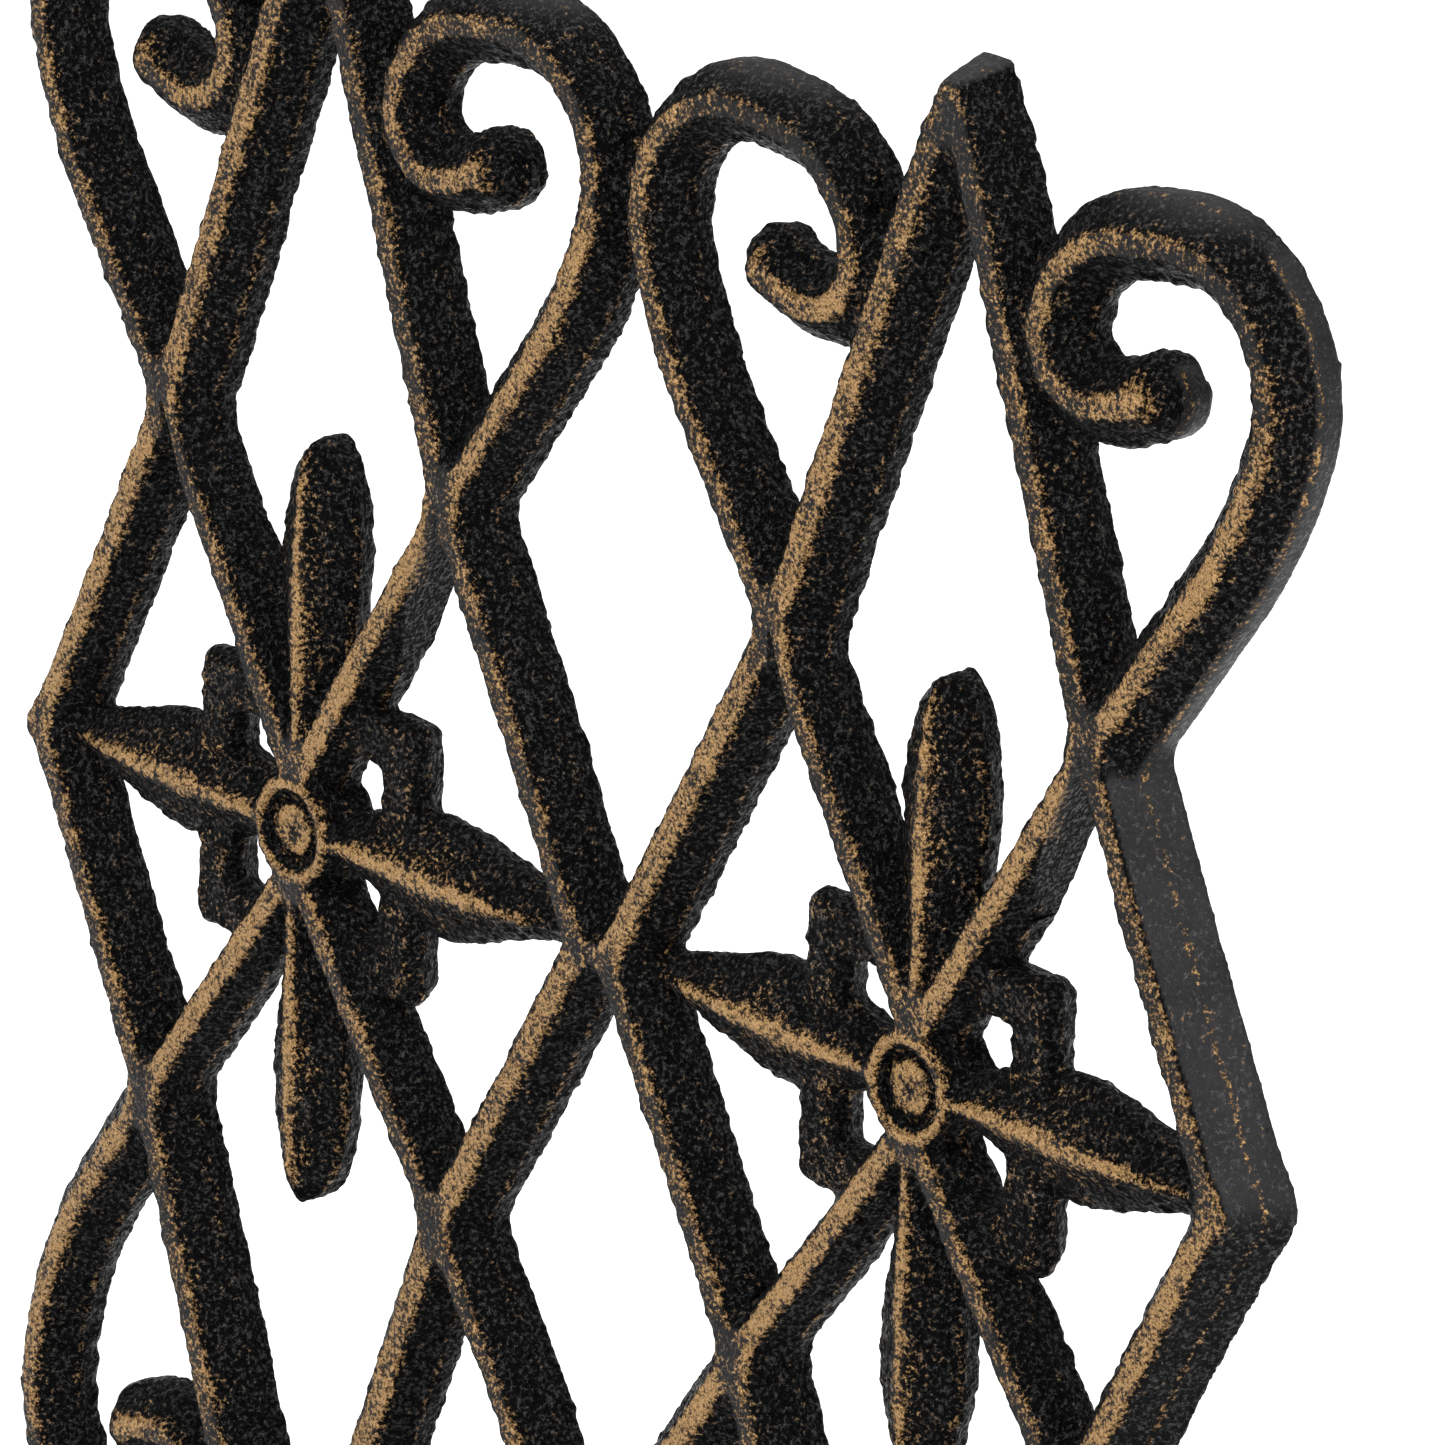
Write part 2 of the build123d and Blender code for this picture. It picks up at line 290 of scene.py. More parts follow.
class Field:
    """The right-hand half of the casting on a grid of points. The left-hand half mirrors it."""

    def __init__(self):
        low, high = np.array(cad_bounds[0]) / MM, np.array(cad_bounds[1]) / MM
        self.x = axis(0, high[0] + 4)
        self.z = axis(low[2] - 4, high[2] + 4)
        self.h = axis(-1.0, DEPTH + 2)
        self.value = np.full((len(self.x), len(self.z), len(self.h)), 9.0, np.float32)

    def blend(self, value, side, turn, box, fillet, mirrored=False):
        """Adds one member, given its box (u0, u1, v0, v1) in the rosette's coordinates."""
        flip = -1 if mirrored else 1
        xs = sorted(flip * (HUB_X + side * u) for u in box[:2])
        zs = sorted(turn * v for v in box[2:])
        i = slice(*np.searchsorted(self.x, xs))
        j = slice(*np.searchsorted(self.z, zs))
        if i.start == i.stop or j.start == j.stop:
            return
        x, z = np.meshgrid(self.x[i], self.z[j], indexing="ij")
        member = value(side * (flip * x - HUB_X), turn * z, self.h[None, None, :])
        self.value[i, j] = smooth_min(self.value[i, j], member, fillet)

    def hub_columns(self):
        reach = 16.0
        i = slice(*np.searchsorted(self.x, (HUB_X - reach, HUB_X + reach)))
        j = slice(*np.searchsorted(self.z, (-reach, reach)))
        x, z = np.meshgrid(self.x[i], self.z[j], indexing="ij")
        return i, j, x - HUB_X, z


def cast_panel():
    field = Field()
    room = 11.0
    for half in HALVES:
        for place, side in OUTWARD.items():
            crossing = (half.reach, half.rise)
            vertex = (VERTEX[place], 0.0)
            on_edge = place == "outer"
            leg = bar_value((0.0, half.tip), crossing, right=LEG_INSIDE)
            side_bar = bar_value(crossing, vertex, left=RIM if on_edge else BAR)
            scroll = scroll_value(half, SCROLL_RIM if on_edge else SCROLL_OUTSIDE)
            for mirrored in (False, True):
                if mirrored and on_edge:
                    continue
                field.blend(leg, side, half.turn, (-room, half.reach + room, half.rise - room,
                                                   half.tip + room), FILLET, mirrored)
                field.blend(side_bar, side, half.turn, (half.reach - room, VERTEX[place] + room, -room,
                                                        half.rise + room), FILLET, mirrored)
                field.blend(scroll, side, half.turn,
                            (15, 85, half.rise - room, half.tip + room), FILLET, mirrored)
            field.blend(bar_value((0.0, half.fan), crossing, DIAGONAL, DIAGONAL), side, half.turn,
                        (-room, half.reach + room, -room, half.rise + room), FILLET)
        field.blend(leaf_value(UPRIGHT_LEAF, True), 1, half.turn, (-16, 16, 5, 69), 1.6)
    for place, side in OUTWARD.items():
        field.blend(leaf_value(LEVEL_LEAF, False), side, 1, (5, VERTEX[place], -16, 16), 1.6)
    for half in HALVES:
        for side in OUTWARD.values():
            field.blend(bracket_value, side, half.turn, (5, 34, 0, 31), 1.4)
    i, j, u, v = field.hub_columns()
    h = field.h[None, None, :]
    around = field.value[i, j]
    around = smooth_max(around, 7.4 - np.hypot(u, v)[..., None], 0.6)
    hub = hub_value(u, v, h)
    body = smooth_max(field.value, h - DEPTH, CREST_ROUND)
    body[i, j] = smooth_min(smooth_max(around, h - DEPTH, CREST_ROUND), hub, 0.9)
    body = smooth_max(body, -h, 0.7)
    # each spear narrows to its tip, which is ground off at a slope that rises towards the back
    u = np.abs(field.x - HUB_X)[:, None, None]
    for half in HALVES:
        above = half.turn * field.z[None, :, None] - half.tip
        top = (above - PEAK + TIP_SLOPE * h) / math.hypot(1, TIP_SLOPE)
        shoulder = u - SHOULDER[0] + SHOULDER[1] * (above - PEAK) - SHOULDER_DRAFT * (DEPTH - h)
        shoulder = shoulder / math.hypot(1, SHOULDER[1])
        near = (above > -25) & (u < 18)
        body = np.where(near, smooth_max(smooth_max(body, top, 0.5), shoulder, 0.8), body)
    return field, body


# ---- skin ----------------------------------------------------------------------------------------
def skin(value, origin):
    """Vertices and quads around the part of the grid that is below zero (surface nets)."""
    inside = value < 0
    shape = np.array(value.shape) - 1
    corners = [(a, b, c) for a in (0, 1) for b in (0, 1) for c in (0, 1)]

    def corner(array, offset):
        return array[tuple(slice(o, o + n) for o, n in zip(offset, shape))]

    count = sum(corner(inside, o).astype(np.int8) for o in corners)
    active = (count > 0) & (count < 8)
    cells = np.argwhere(active)
    number = np.full(active.shape, -1, np.int32)
    number[active] = np.arange(len(cells))
    at = {o: corner(value, o)[active] for o in corners}
    total = np.zeros((len(cells), 3))
    hits = np.zeros(len(cells))
    for a in corners:
        for k in range(3):
            if a[k]:
                continue
            b = tuple(1 if m == k else a[m] for m in range(3))
            crossed = (at[a] < 0) != (at[b] < 0)
            step = np.where(crossed, at[a] / np.where(crossed, at[a] - at[b], 1), 0)
            point = np.tile(np.array(a, float), (len(cells), 1))
            point[:, k] += step
            total += point * crossed[:, None]
            hits += crossed
    vertices = (cells + total / hits[:, None]) * GRID + origin
    quads = []
    for k in range(3):
        i, j = (k + 1) % 3, (k + 2) % 3
        lower = [slice(1, -1)] * 3
        lower[k] = slice(0, -1)
        upper = list(lower)
        upper[k] = slice(1, None)
        first, second = inside[tuple(lower)], inside[tuple(upper)]
        edges = np.argwhere(first != second)
        outwards = first[tuple(edges.T)]
        edges[:, i] += 1
        edges[:, j] += 1
        ring = []
        for di, dj in ((-1, -1), (0, -1), (0, 0), (-1, 0)):
            cell = edges.copy()
            cell[:, i] += di
            cell[:, j] += dj
            ring.append(number[tuple(cell.T)])
        ring = np.stack(ring, 1)
        quads.append(np.where(outwards[:, None], ring, ring[:, ::-1]))
    return vertices, np.concatenate(quads)


def vertex_normals(vertices, quads):
    a, b, c, d = (vertices[quads[:, k]] for k in range(4))
    face = np.cross(c - a, d - b)
    normal = np.stack([np.bincount(quads.ravel(), np.repeat(face[:, k], 4), len(vertices))
                       for k in range(3)], 1)
    return normal / np.maximum(np.linalg.norm(normal, axis=1, keepdims=True), 1e-9)


def noise(points, size, seed):
    """Smooth random values between -1 and 1 that change over the given length."""
    cells = 48
    lattice = np.random.default_rng(seed).uniform(-1, 1, (cells, cells, cells))
    scaled = points / size
    base = np.floor(scaled).astype(int)
    f = scaled - base
    f = f * f * (3 - 2 * f)
    total = 0
    for a in (0, 1):
        for b in (0, 1):
            for c in (0, 1):
                weight = (np.where(a, f[:, 0], 1 - f[:, 0]) * np.where(b, f[:, 1], 1 - f[:, 1])
                          * np.where(c, f[:, 2], 1 - f[:, 2]))
                i, j, k = ((base + (a, b, c)) % cells).T
                total = total + weight * lattice[i, j, k]
    return total


# ---- roughness and rubbed bronze -----------------------------------------------------------------
def relaxed(vertices, quads, rounds):
    """The vertices after being pulled towards their neighbours a number of times."""
    ends = np.concatenate([quads[:, [k, (k + 1) % 4]] for k in range(4)])
    degree = np.maximum(np.bincount(ends[:, 0], minlength=len(vertices)), 1)
    moved = vertices
    for _ in range(rounds):
        moved = np.stack([np.bincount(ends[:, 0], moved[ends[:, 1], k], len(vertices)) / degree
                          for k in range(3)], 1)
    return moved


def step_between(low, high, value):
    t = np.clip((value - low) / (high - low), 0, 1)
    return t * t * (3 - 2 * t)


def rubbed(points, quads, normals, rounded):
    """How much bronze a brush drawn down to the right leaves: most on crests that lie across it."""
    edge = np.clip(((points - rounded) * normals).sum(1) / 0.2, 0, 1)
    x, z = normals[:, 0], normals[:, 1]
    runs = relaxed(np.stack([x * x, x * z, z * z], 1), quads, 26)
    across = (runs[:, 0] - 2 * runs[:, 1] + runs[:, 2]) / (2 * (runs[:, 0] + runs[:, 2]) + 1e-4)
    high = step_between(DEPTH - 4.2, DEPTH - 0.4, points[:, 2])
    facing = step_between(0.35, 0.9, normals @ unit((0.3, 0.25, 0.92)))
    right_edge = edge * step_between(0.1, 0.6, normals @ unit((0.85, 0.3, 0.45)))
    left_edge = edge * step_between(0.1, 0.6, normals @ unit((-0.85, 0.3, 0.45)))
    parting = step_between(1.2, 0.3, np.abs(points[:, 2] - PARTING)) * step_between(0.0, 0.5, x)
    broad = step_between(DEPTH - 7.0, DEPTH - 3.6, points[:, 2]) * step_between(0.45, 0.95, normals[:, 2])
    on_head = step_between(118, 140, np.abs(points[:, 1]))
    crest = high * (facing * (0.1 + 0.28 * across) + 0.66 * right_edge + 0.6 * across * left_edge)
    return (crest + 0.28 * broad) * (1 - 0.3 * on_head) + (0.3 + 0.5 * across) * parting


def ground_share(points, normals):
    """Where the panel's outer rim has been ground flat: 1 on it and 0 elsewhere."""
    outwards = np.sign(points[:, 0]) * normals[:, 0]
    rim = step_between(0.35, 0.6, outwards) * step_between(EDGE_X - 30, EDGE_X - 26, np.abs(points[:, 0]))
    tips = step_between(0.5, 0.8, np.abs(normals[:, 1])) * step_between(140, 146, np.abs(points[:, 1]))
    as_cast = step_between(3.0, -3.0, points[:, 1]) * step_between(-EDGE_X / 2, -EDGE_X / 2 + 10, points[:, 1])
    return np.maximum(rim * step_between(0.62, 0.54, normals[:, 2]) * (1 - 0.75 * as_cast), tips)


def smooth_crest_with_highlight(points, normals):
    """The crests' flat tops: smoother than the flanks, and greyer as a painted highlight on the front."""
    return step_between(DEPTH - 1.2, DEPTH - 0.3, points[:, 2]) * step_between(0.8, 0.97, normals[:, 2])


def roughened(points, normals, ground):
    """The skin with the wobble of a sand mould and its grain."""
    wobble = np.stack([noise(points, 17.0, seed) for seed in (1, 2, 3)], 1) * (0.28, 0.28, 0.12)
    grain = 0.24 * noise(points, 2.6, 4) + 0.24 * noise(points, 1.4, 5) + 0.2 * noise(points, 0.9, 6)
    dents = -0.3 * step_between(0.55, 0.85, noise(points, 2.0, 7))
    return points + wobble + normals * ((grain + dents) * (1 - 0.8 * ground))[:, None]


# ---- cutting the skin into members ---------------------------------------------------------------
def towards(point, along, target):
    """A half plane through point and along a direction, on the side that holds target."""
    normal = np.array((-along[1], along[0]), float)
    normal /= np.linalg.norm(normal)
    if np.dot(normal, np.subtract(target, point)) < 0:
        normal = -normal
    return np.array(point, float), normal


def either(*planes):
    """A region that holds whatever is inside at least one of the half planes."""
    return list(planes)


def unit(vector):
    return np.array(vector, float) / np.linalg.norm(vector)


def rosette_seams():
    """Each member's half planes, in the coordinates of the rosette and its quarters."""
    q = SEAM_HUB
    members = {"rosette_hub": (1, 1, [((q, 0), (-1, 0)), ((-q, 0), (1, 0)), ((0, q), (0, -1)), ((0, -q), (0, 1))])}
    leaf_edge = (math.sin(math.radians(14.5)), math.cos(math.radians(14.5)))
    above_hub = ((0, q), (0, 1))
    brow = ((15, 7.6), (31, 10.4))
    for place, side in OUTWARD.items():
        level = [((q, 0), (1, 0))]
        for half in HALVES:
            k = np.array((half.reach, half.rise))
            vertex = np.array((VERTEX[place], 0.0))
            fan = np.array((0.0, half.fan))
            tip = np.array((0.0, half.tip))
            leg, scroll, bar, diagonal = unit(tip - k), unit(half.stem), unit(vertex - k), unit(fan - k)
            up, right, down, left = leg + scroll, scroll + bar, bar + diagonal, diagonal + leg
            slope = half.reach / (half.rise - half.fan)
            corner = BRACKET_CORNER[1]
            flank_u = (corner - half.fan) * slope + DIAGONAL[1] * math.hypot(1, slope)
            arm = (flank_u + 0.9 - q, corner - q)
            leaf_gap = (half.reach - 11 - vertex[0] + 6.8, half.rise)
            leaf_end = (vertex[0] - 6.8, 0)
            curl_v = half.rise + min(half.arcs)[1]
            leg_slope = half.reach / (half.tip - half.rise)
            curl = ((half.tip - curl_v) * leg_slope + BAR[1] * math.hypot(1, leg_slope) + 1.0, curl_v)
            curl_along = (-(leg_slope + 0.087), 1)
            far = k + 30 * leg
            seams = {
                "diagonal": [above_hub, towards((0, 0), leaf_edge, k), towards((q, q), arm, (0, 40)),
                             towards(k, left, k + diagonal), towards(k, down, k + diagonal)],
                "bracket": [((q, 0), (1, 0)), towards((q, q), arm, (40, 20)),
                            towards(brow[0], np.subtract(brow[1], brow[0]), (20, 40)),
                            ((33, 0), (-1, 0)), ((0, 31), (0, -1))],
                "spear_leg": [towards(k, up, k + leg), towards(k, left, k + leg), towards(curl, curl_along, far),
                              ((0, half.tip - HEAD_DROP), (0, -1)), ((0, 0), (1, 0))],
                "scroll": [either(towards(k, up, k + scroll), towards(curl, curl_along, (90, curl_v))),
                           towards(k, right, k + scroll), ((14, 0), (1, 0))],
                "bar": [((0, 0), (0, 1)), towards(leaf_end, leaf_gap, vertex), towards(k, down, k + bar),
                        towards(k, right, k + bar)],
            }
            level.append(tuple(c * (1, half.turn) for c in towards(brow[0], np.subtract(brow[1], brow[0]), (20, 0))))
            level.append(tuple(c * (1, half.turn) for c in towards(leaf_end, leaf_gap, (0, 0))))
            if place == "inner":
                middle = ((HUB_X, 0), (-1, 0))
                seams["scroll"].append(middle)
                seams["bar"].append(middle)
            names = {
                "diagonal": f"{half.name}_{place}_diagonal",
                "bracket": f"{half.name}_{place}_bracket",
                "spear_leg": f"{half.name}_spear_{place}_leg",
                "scroll": f"{half.name}_{place}_scroll",
                "bar": f"{half.name}_{'edge' if place == 'outer' else 'centre'}_bar",
            }
            for key, planes in seams.items():
                members[names[key]] = (side, half.turn, planes)
        members[f"{place}_leaf"] = (side, 1, level)
    for half in HALVES:
        members[f"{half.name}_leaf"] = (1, half.turn, [
            above_hub, ((0, half.rise + 10), (0, -1)), towards((0, 0), leaf_edge, (0, 9)),
            towards((0, 0), (-leaf_edge[0], leaf_edge[1]), (0, 9))])
        members[f"{half.name}_spear_head"] = (1, half.turn, [((0, half.tip - HEAD_DROP), (0, 1)),
                                                             ((14, 0), (-1, 0)), ((-14, 0), (1, 0))])
    return members


def panel_planes(planes, side, turn, hand):
    """The half planes of one member in the panel's own x and z."""
    placed = []
    for group in planes:
        group = group if isinstance(group, list) else [group]
        placed.append([((hand * (HUB_X + side * point[0]), turn * point[1]),
                        (hand * side * normal[0], turn * normal[1])) for point, normal in group])
    return placed


def mesh_from(name, points, faces, values):
    mesh = bpy.data.meshes.new(name)
    mesh.vertices.add(len(points))
    mesh.vertices.foreach_set("co", points.ravel())
    mesh.loops.add(faces.size)
    mesh.loops.foreach_set("vertex_index", faces.ravel())
    mesh.polygons.add(len(faces))
    mesh.polygons.foreach_set("loop_start", np.arange(len(faces)) * 4)
    mesh.polygons.foreach_set("loop_total", np.full(len(faces), 4))
    mesh.update(calc_edges=True)
    for key, data in values.items():
        kind = "FLOAT_VECTOR" if data.ndim == 2 else "FLOAT"
        layer = mesh.attributes.new(key, kind, "POINT")
        layer.data.foreach_set("vector" if data.ndim == 2 else "value", data.astype(np.float32).ravel())
    return mesh


def close_cuts(bm, planes):
    """Closes the openings that the cuts left, each with flat faces in its own plane."""
    near = 3e-6
    open_edges = [e for e in bm.edges if e.is_boundary]
    rim = {v for e in open_edges for v in e.verts}
    held = []
    for co, no in planes:
        held.append({v for v in rim if abs((v.co - co).dot(no)) < near})
    sets = [{e for e in open_edges if e.verts[0] in on and e.verts[1] in on} for on in held]
    for i in range(len(planes)):
        for j in range(i + 1, len(planes)):
            shared = sorted(held[i] & held[j], key=lambda v: v.co.y)
            for a, b in zip(shared[::2], shared[1::2]):
                edge = bm.edges.get((a, b)) or bm.edges.new((a, b))
                sets[i].add(edge)
                sets[j].add(edge)
    for (co, no), edges in zip(planes, sets):
        while edges:
            edge = edges.pop()
            start, at = edge.verts
            loop = [start, at]
            while at is not start:
                following = next((e for e in at.link_edges if e in edges), None)
                if following is None:
                    break
                edges.discard(following)
                at = following.other_vert(at)
                loop.append(at)
            if at is not start or len(loop) < 4:
                continue
            loop.pop()
            middle = bm.verts.new(sum((v.co for v in loop), Vector()) / len(loop))
            for a, b in zip(loop, loop[1:] + loop[:1]):
                flat = (a.co - middle.co).cross(b.co - middle.co).dot(no) > 0
                face = bm.faces.new((b, a, middle) if flat else (a, b, middle))
                face.smooth = False


def carve(name, points, faces, values, groups):
    """A closed mesh of the part of the skin that lies inside one half plane of every group."""
    margin = 2.5
    keep = np.ones(len(points), bool)
    for planes in groups:
        keep &= np.logical_or.reduce([(points[:, 0] - p[0]) * n[0] + (points[:, 1] - p[1]) * n[1] > -margin
                                      for p, n in planes])
    chosen = faces[keep[faces].all(1)]
    used, index = np.unique(chosen, return_inverse=True)
    local = points[used]
    metres = np.stack([local[:, 0], -local[:, 2], local[:, 1]], 1) * MM
    mesh = mesh_from(name, metres, index.reshape(chosen.shape), {k: v[used] for k, v in values.items()})
    bm = bmesh.new()
    bm.from_mesh(mesh)
    for face in bm.faces:
        face.smooth = True
    every_cut = []
    for planes in groups:
        cuts = [(Vector((p[0] * MM, 0, p[1] * MM)), Vector((n[0], 0, n[1]))) for p, n in planes]
        for co, no in cuts:
            everything = bm.verts[:] + bm.edges[:] + bm.faces[:]
            bmesh.ops.bisect_plane(bm, geom=everything, dist=1e-8, plane_co=co, plane_no=no,
                                   clear_inner=len(cuts) == 1)
        if len(cuts) > 1:
            outside = [f for f in bm.faces
                       if all((f.calc_center_median() - co).dot(no) < 0 for co, no in cuts)]
            bmesh.ops.delete(bm, geom=outside, context="FACES")
        every_cut += cuts
    close_cuts(bm, every_cut)
    left_open = sum(1 for e in bm.edges if not e.is_manifold)
    if left_open:
        print("open edges", name, left_open)
    bm.to_mesh(mesh)
    bm.free()
    corner_vertex = np.empty(len(mesh.loops), np.int32)
    mesh.loops.foreach_get("vertex_index", corner_vertex)
    shade = np.empty(len(mesh.vertices) * 3, np.float32)
    mesh.attributes["shade"].data.foreach_get("vector", shade)
    corner_normal = shade.reshape(-1, 3)[corner_vertex]
    is_smooth = np.empty(len(mesh.polygons), bool)
    mesh.polygons.foreach_get("use_smooth", is_smooth)
    sizes = np.empty(len(mesh.polygons), np.int32)
    mesh.polygons.foreach_get("loop_total", sizes)
    own = np.empty(len(mesh.polygons) * 3, np.float32)
    mesh.polygons.foreach_get("normal", own)
    corner_smooth = np.repeat(is_smooth, sizes)
    corner_normal[~corner_smooth] = np.repeat(own.reshape(-1, 3), sizes, axis=0)[~corner_smooth]
    mesh.attributes.remove(mesh.attributes["shade"])
    mesh.normals_split_custom_set(corner_normal.tolist())
    piece = bpy.data.objects.new(name, mesh)
    bpy.context.scene.collection.objects.link(piece)
    return piece


# ---- materials -----------------------------------------------------------------------------------
class Nodes:
    """Short ways to add nodes to one material."""

    def __init__(self, name):
        self.material = bpy.data.materials.new(name)
        self.material.use_nodes = True
        self.tree = self.material.node_tree
        self.tree.nodes.clear()

    def add(self, kind, inputs=None, **settings):
        node = self.tree.nodes.new(kind)
        for key, value in settings.items():
            setattr(node, key, value)
        for key, value in (inputs or {}).items():
            if isinstance(value, bpy.types.NodeSocket):
                self.tree.links.new(value, node.inputs[key])
            else:
                node.inputs[key].default_value = value
        return node

    def math(self, operation, a, b=0.0, c=0.0):
        return self.add("ShaderNodeMath", {0: a, 1: b, 2: c}, operation=operation).outputs[0]

    def attribute(self, name):
        return self.add("ShaderNodeAttribute", attribute_name=name).outputs["Fac"]

    def span(self, value, low, high, out_low=0.0, out_high=1.0):
        node = self.add("ShaderNodeMapRange", {"Value": value, "From Min": low, "From Max": high,
                                               "To Min": out_low, "To Max": out_high},
                        interpolation_type="SMOOTHSTEP")
        return node.outputs["Result"]

    def noise(self, vector, size, detail=2.0, roughness=0.5):
        """Noise with features of about the given size in millimetres."""
        node = self.add("ShaderNodeTexNoise", {"Vector": vector, "Scale": 1 / (size * MM),
                                               "Detail": detail, "Roughness": roughness})
        return node.outputs["Fac"]

    def mix(self, factor, a, b):
        node = self.add("ShaderNodeMix", data_type="RGBA")
        for index, value in ((0, factor), (6, a), (7, b)):
            if isinstance(value, bpy.types.NodeSocket):
                self.tree.links.new(value, node.inputs[index])
            else:
                node.inputs[index].default_value = value
        return node.outputs[2]


def cast_iron(name, bronze_gain):
    """Black painted sand-cast iron with antique bronze rubbed onto what stands proud."""
    n = Nodes(name)
    place = n.add("ShaderNodeTexCoord").outputs["Object"]
    rub, ground = n.attribute("rub"), n.attribute("ground")
    grain = n.noise(place, 0.75, 2.0, 0.55)
    fine = n.noise(place, 0.32, 2.0, 0.6)
    patches = n.noise(place, 8.0, 3.0, 0.6)
    streaks = n.noise(place, 2.4, 2.0, 0.6)
    height = n.math("ADD", n.math("MULTIPLY", grain, 0.65), n.math("MULTIPLY", fine, 0.35))
    broken = n.math("ADD", n.math("MULTIPLY", height, 4.2), n.math("MULTIPLY", streaks, 1.1))
    broken = n.math("ADD", broken, n.math("MULTIPLY", patches, 0.9))
    level = n.math("ADD", n.math("MULTIPLY_ADD", rub, bronze_gain, -3.75), broken)
    bronze = n.span(level, -0.06, 0.16)
    thick = n.span(level, 0.05, 0.6)
    # grain peaks lighter and pits darker in the black: a painted glint speckle on the peaks and painted shade in the
    # pits
    black = n.mix(n.span(height, 0.45, 0.6), (0.0006, 0.0006, 0.0007, 1), (0.0035, 0.0035, 0.0038, 1))
    # grey of the ground faces' bare metal, dotted with pits; through the same mask it also greys the crest tops as a
    # painted highlight
    ground_grey_and_crest_highlight = n.mix(n.span(patches, 0.3, 0.7), (0.005, 0.005, 0.0055, 1), (0.0095, 0.0095, 0.0105, 1))
    pits = n.add("ShaderNodeTexVoronoi", {"Vector": place, "Scale": 1 / (6.5 * MM)}).outputs["Distance"]
    ground_grey_and_crest_highlight = n.mix(n.span(pits, 0.05, 0.09), (0.0006, 0.0006, 0.0007, 1), ground_grey_and_crest_highlight)
    dark = n.mix(ground, black, ground_grey_and_crest_highlight)
    gold = n.mix(thick, (0.05, 0.027, 0.01, 1), (0.3, 0.178, 0.072, 1))
    gold = n.mix(n.span(fine, 0.38, 0.6, 0.6, 0.0), gold, (0.05, 0.026, 0.01, 1))
    colour = n.mix(bronze, dark, gold)
    relief = n.math("MULTIPLY", height, n.math("MULTIPLY_ADD", ground, -0.7, 1.0))
    bump = n.add("ShaderNodeBump", {"Height": relief, "Strength": 1.0, "Distance": 0.0014})
    shine = n.math("MAXIMUM", n.span(height, 0.49, 0.64, 0.03, 0.34), n.math("MULTIPLY", ground, 0.14))
    rough = n.span(grain, 0.35, 0.65, 0.5, 0.32)
    shader = n.add("ShaderNodeBsdfPrincipled", {"Base Color": colour, "Roughness": rough,
                                                "Metallic": n.math("MULTIPLY", bronze, 0.4),
                                                "Normal": bump.outputs["Normal"],
                                                "Specular IOR Level": shine})
    output = n.add("ShaderNodeOutputMaterial")
    n.tree.links.new(shader.outputs["BSDF"], output.inputs["Surface"])
    return n.material


def studio_floor():
    n = Nodes("floor_paint")
    place = n.add("ShaderNodeTexCoord").outputs["Object"]
    tone = n.mix(n.noise(place, 60.0, 2.0), (0.86, 0.86, 0.86, 1), (0.9, 0.9, 0.9, 1))
    shader = n.add("ShaderNodeBsdfPrincipled", {"Base Color": tone, "Roughness": 0.9})
    output = n.add("ShaderNodeOutputMaterial")
    n.tree.links.new(shader.outputs["BSDF"], output.inputs["Surface"])
    return n.material


# ---- the panel -----------------------------------------------------------------------------------
def panel_skin():
    """The whole casting's roughened skin in field millimetres, with what the materials need."""
    field, body = cast_panel()
    whole = np.concatenate([body[:0:-1], body])
    points, quads = skin(whole, (-field.x[-1], field.z[0], field.h[0]))
    smooth = vertex_normals(points, quads)
    ground = ground_share(points, smooth)
    rounded = relaxed(points, quads, 12)
    flash = ground * step_between(0.8, 0.2, np.abs(points[:, 2] - PARTING))
    rub = rubbed(points, quads, smooth, rounded) * (1 - 0.6 * ground) + 0.6 * flash
    # the crest tops join the ground mask: their grain is smoothed, and they are greyed as a painted highlight
    ground = np.maximum(ground, 0.7 * smooth_crest_with_highlight(points, smooth))
    moved = roughened(points, smooth, ground)
    shade = vertex_normals(moved, quads)
    shade = np.stack([shade[:, 0], -shade[:, 2], shade[:, 1]], 1)
    return moved, quads, {"shade": shade, "rub": rub, "ground": ground}


def build_panel():
    points, quads, values = panel_skin()
    finish = {"black_iron": cast_iron("black_iron", 0.7), "bronzed_iron": cast_iron("bronzed_iron", 0.88)}
    slots = {row["node"]: row["material_slot"] for row in frame["record"]["subparts"]}
    for hand_name, hand in SIDES.items():
        for member, (side, turn, planes) in rosette_seams().items():
            node = f"{hand_name}_{member}"
            piece = carve(f"cast_{node}", points, quads, values, panel_planes(planes, side, turn, hand))
            piece.data.materials.append(finish[slots[node]])
            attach(piece, "root")
            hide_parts(node)


# ---- studio --------------------------------------------------------------------------------------
def add_floor():
    bpy.ops.mesh.primitive_plane_add(size=40, location=(0, 0, cad_bounds[0][2] - 0.002))
    floor = bpy.context.object
    floor.name = "floor"
    floor.data.materials.append(studio_floor())


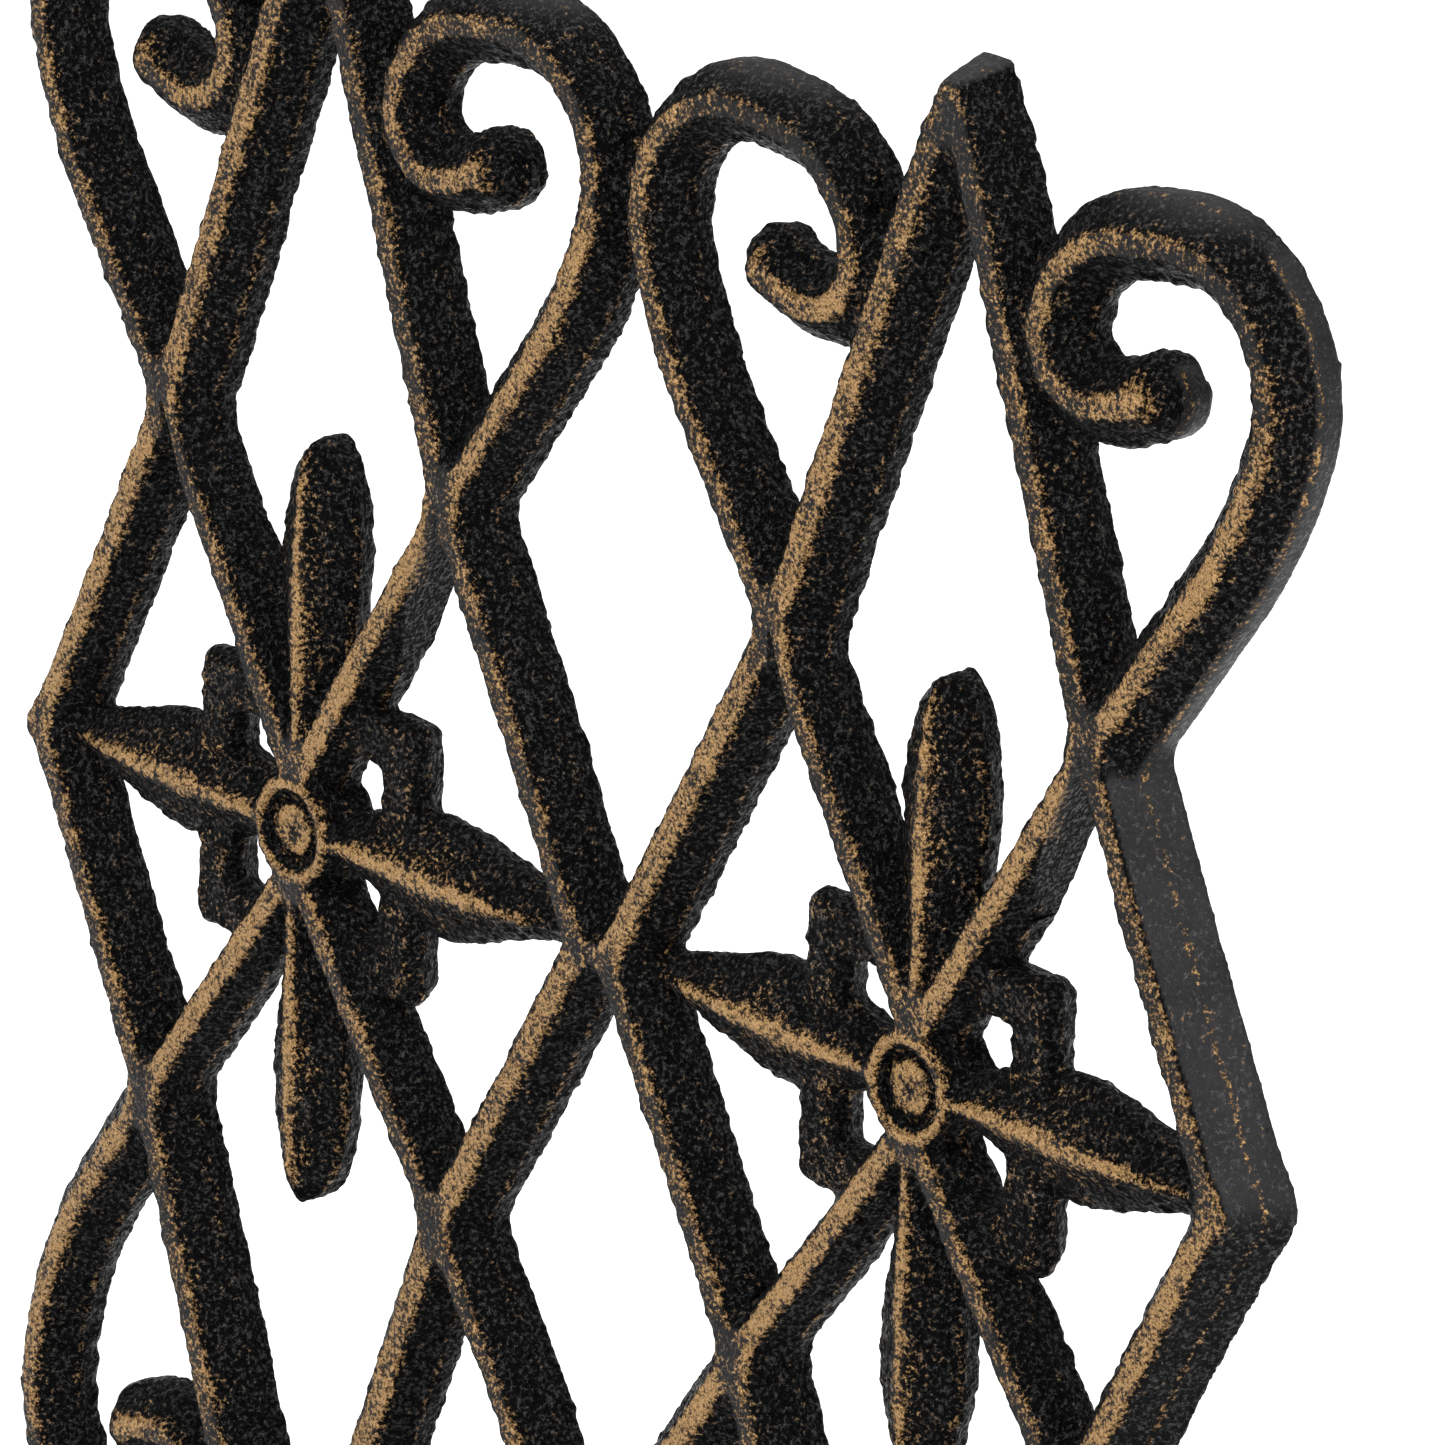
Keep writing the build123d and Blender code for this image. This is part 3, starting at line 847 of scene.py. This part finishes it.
def add_light(name, place, target, size, power):
    light = bpy.data.lights.new(name, "AREA")
    light.shape = "DISK"
    light.size = size
    light.energy = power
    lamp = bpy.data.objects.new(name, light)
    lamp.location = place
    lamp.rotation_euler = (Vector(target) - Vector(place)).to_track_quat("-Z", "Y").to_euler()
    bpy.context.scene.collection.objects.link(lamp)


def add_studio():
    world = bpy.data.worlds.new("studio")
    world.use_nodes = True
    nodes, links = world.node_tree.nodes, world.node_tree.links
    height = nodes.new("ShaderNodeSeparateXYZ")
    links.new(nodes.new("ShaderNodeTexCoord").outputs["Generated"], height.inputs[0])
    overhead = nodes.new("ShaderNodeMapRange")
    for socket, value in (("From Min", 0.05), ("From Max", 0.75), ("To Min", 0.15), ("To Max", 1.3)):
        overhead.inputs[socket].default_value = value
    links.new(height.outputs["Z"], overhead.inputs["Value"])
    links.new(overhead.outputs["Result"], nodes["Background"].inputs["Strength"])
    nodes["Background"].inputs["Color"].default_value = (1, 1, 1, 1)
    bpy.context.scene.world = world
    add_light("key", (-0.5, -1.6, 1.9), (0, 0, 0), 0.55, 75)
    add_light("fill", (2.2, -0.3, 0.9), (0, 0, 0), 0.7, 36)
    bpy.context.scene.view_settings.view_transform = "Standard"


def add_camera():
    azimuth, elevation, roll = (math.radians(a) for a in (46.82, 19.25, 1.97))
    back = Vector((math.sin(azimuth) * math.cos(elevation), -math.cos(azimuth) * math.cos(elevation),
                   math.sin(elevation)))
    right = Vector((0, 0, 1)).cross(back).normalized()
    up = back.cross(right)
    rolled_right = right * math.cos(roll) + up * math.sin(roll)
    rolled_up = up * math.cos(roll) - right * math.sin(roll)
    camera = bpy.data.objects.new("camera", bpy.data.cameras.new("camera"))
    camera.data.sensor_width = 36
    camera.data.lens = 255.9
    camera.data.clip_end = 60
    camera.matrix_world = Matrix((
        (rolled_right.x, rolled_up.x, back.x, 1.0755),
        (rolled_right.y, rolled_up.y, back.y, -0.9935),
        (rolled_right.z, rolled_up.z, back.z, 0.547),
        (0, 0, 0, 1)))
    bpy.context.scene.collection.objects.link(camera)
    bpy.context.scene.camera = camera


build_panel()
add_floor()
add_studio()
add_camera()
